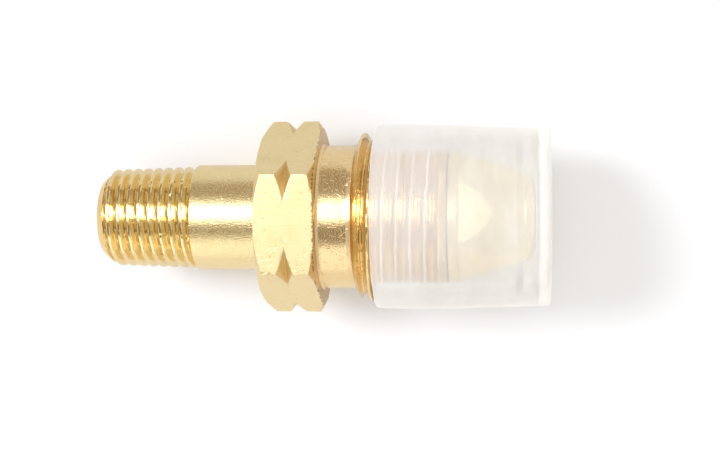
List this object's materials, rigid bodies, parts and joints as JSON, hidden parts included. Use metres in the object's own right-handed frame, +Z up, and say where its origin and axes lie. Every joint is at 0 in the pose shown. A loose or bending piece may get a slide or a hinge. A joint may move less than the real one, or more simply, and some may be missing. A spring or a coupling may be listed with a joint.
{
  "type": "gas cylinder connector",
  "caption": "Brass gas cylinder connector: left-hand coupling nut turning on a bullet-nosed nipple with a tapered pipe thread, under a cloudy push-on thread cap.",
  "frame": {"origin": "middle of the overall length, on the fitting's axis", "axes": "+X along the axis towards the nose and the closed end of the cap, the pipe thread at -X; +Z up, square to one flat of the coupling nut, with the opposite flat towards the table"},
  "size_m": [0.06, 0.0256, 0.0246],
  "materials": {
    "nipple_brass": "turned, bright",
    "nut_brass": "drawn hexagon and turned barrel, bright",
    "cap_plastic": "cloudy soft polyethylene",
    "check_brass": "turned",
    "spring_steel": "drawn stainless wire"
  },
  "bodies": {
    "nipple": {"nipple": "nipple_brass", "check_retainer": "check_brass", "check_spring": "spring_steel"},
    "nut": {"coupling_nut": "nut_brass"},
    "cap": {"protective_cap": "cap_plastic"},
    "poppet": {"check_poppet": "check_brass"}
  },
  "joints": [
    {"name": "nut_spin", "type": "hinge", "parent": "nipple", "child": "nut", "pos_m": [0, 0, 0], "axis": [1, 0, 0], "continuous": true},
    {"name": "cap_pull_off", "type": "slide", "parent": "nut", "child": "cap", "axis": [1, 0, 0], "range_m": [0, 0.022]},
    {"name": "poppet_travel", "type": "slide", "parent": "nipple", "child": "poppet", "axis": [-1, 0, 0], "range_m": [0, 0.002], "stiffness_N_per_m": 300, "springref_m": -0.002, "deforming": ["check_spring"]}
  ]
}
